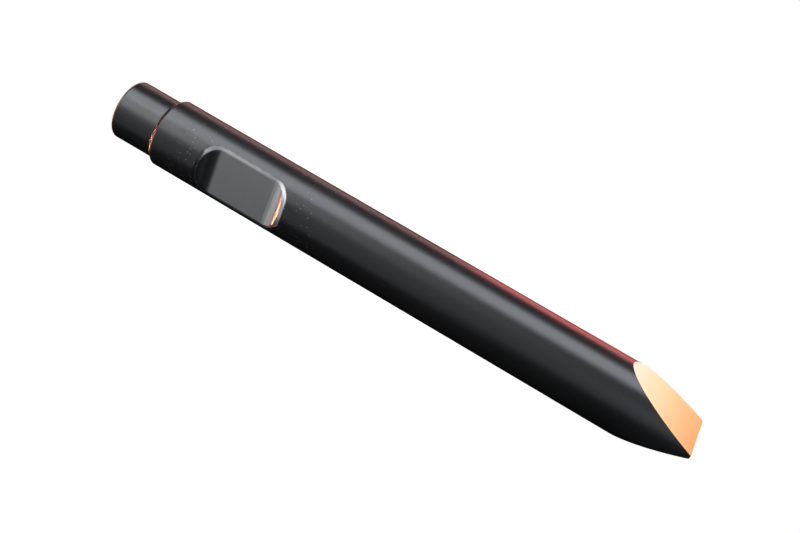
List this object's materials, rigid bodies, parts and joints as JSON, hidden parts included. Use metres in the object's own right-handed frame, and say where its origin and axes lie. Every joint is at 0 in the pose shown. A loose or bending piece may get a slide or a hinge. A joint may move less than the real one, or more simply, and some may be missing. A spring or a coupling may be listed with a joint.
{
  "type": "hydraulic breaker chisel",
  "caption": "Round steel breaker tool with a stepped striking end, milled retaining flats and a two-bevel wedge point.",
  "frame": {"origin": "centre of the striking face, on which the bar stands", "axes": "+Z along the bar from the striking face to the cutting edge; +Y and -Y are the normals of the two retaining flats, and the cutting edge runs along Y between bevels that face +X and -X"},
  "size_m": [0.135, 0.135, 1.2095],
  "materials": {
    "steel": "satin"
  },
  "bodies": {
    "root": {"chisel": "steel"}
  },
  "joints": []
}
